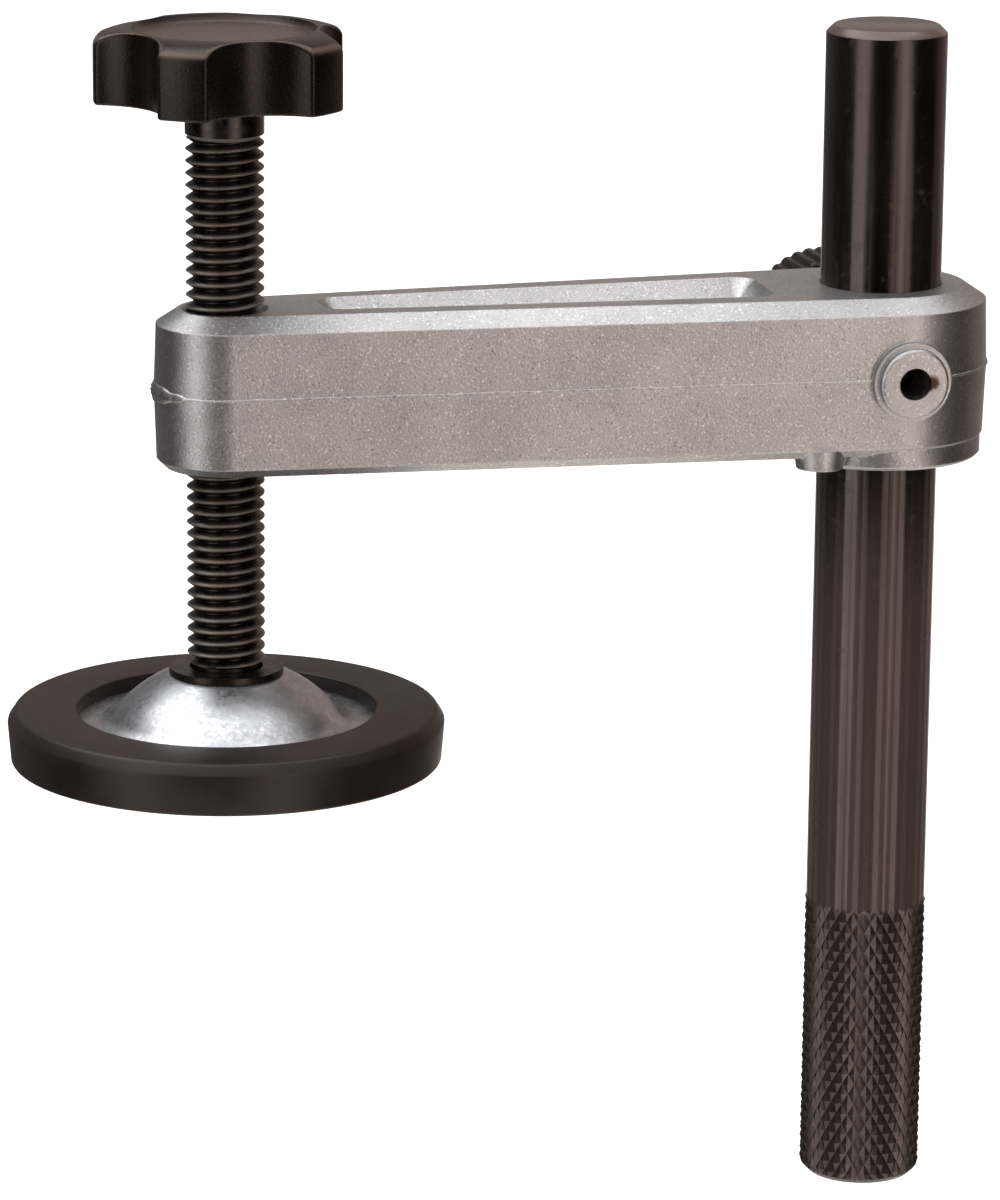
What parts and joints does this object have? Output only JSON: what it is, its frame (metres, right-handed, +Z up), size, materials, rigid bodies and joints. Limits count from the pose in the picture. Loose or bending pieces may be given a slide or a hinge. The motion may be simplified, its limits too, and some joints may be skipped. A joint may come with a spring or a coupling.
{
  "type": "screw clamp",
  "caption": "Bench hold-down screw clamp: a cast arm slides and locks on a knurled-foot steel post, and a lobed knob drives a threaded spindle onto a round swivelling pad.",
  "frame": {"origin": "on the post's axis at the top of its knurled foot, level with the bench top", "axes": "+Z up along the post, the arm reaches towards -X, and the lock knob is on the +Y side"},
  "size_m": [0.1525, 0.0662, 0.1864],
  "materials": {
    "cast_aluminium": "satin",
    "black_steel": "satin",
    "screw_steel": "satin",
    "zinc_plate": "satin",
    "knob_plastic": "matte",
    "pad_plastic": "satin"
  },
  "bodies": {
    "post": {"post": "black_steel"},
    "arm": {"arm": "cast_aluminium"},
    "feed": {"retaining_clip": "screw_steel"},
    "spindle": {"spindle": "screw_steel", "spindle_knob": "knob_plastic"},
    "swivel": {"swivel_seat": "zinc_plate"},
    "pad": {"swivel_washer": "screw_steel", "pad_dome": "zinc_plate", "pad_ring": "pad_plastic"},
    "lock_feed": {"lock_screw": "screw_steel"},
    "lock_grip": {"lock_knob": "knob_plastic"}
  },
  "joints": [
    {"name": "arm_slide", "type": "slide", "parent": "post", "child": "arm", "axis": [0, 0, 1], "range_m": [-0.07, 0.038]},
    {"name": "spindle_travel", "type": "slide", "parent": "arm", "child": "feed", "axis": [0, 0, 1], "range_m": [-0.0255, 0.0305]},
    {"name": "spindle_turn", "type": "hinge", "parent": "feed", "child": "spindle", "pos_m": [-0.1028, 0, 0.0868], "axis": [0, 0, 1], "range_deg": [-4990, 5968]},
    {"name": "pad_turn", "type": "hinge", "parent": "feed", "child": "swivel", "pos_m": [-0.1028, 0, 0.03614], "axis": [0, 0, 1], "continuous": true},
    {"name": "pad_tilt", "type": "hinge", "parent": "swivel", "child": "pad", "pos_m": [-0.1028, 0, 0.03614], "axis": [0, 1, 0], "range_deg": [-4, 4]},
    {"name": "lock_travel", "type": "slide", "parent": "arm", "child": "lock_feed", "axis": [0, 1, 0], "range_m": [0, 0.00101]},
    {"name": "lock_turn", "type": "hinge", "parent": "lock_feed", "child": "lock_grip", "pos_m": [0, 0.0203, 0.0868], "axis": [0, 1, 0], "range_deg": [0, 360]}
  ],
  "couplings": [
    {"joint": "spindle_turn", "follows": "spindle_travel", "rad_per_m": 3414.8},
    {"joint": "lock_travel", "follows": "lock_turn", "m_per_rad": 0.00015915}
  ]
}
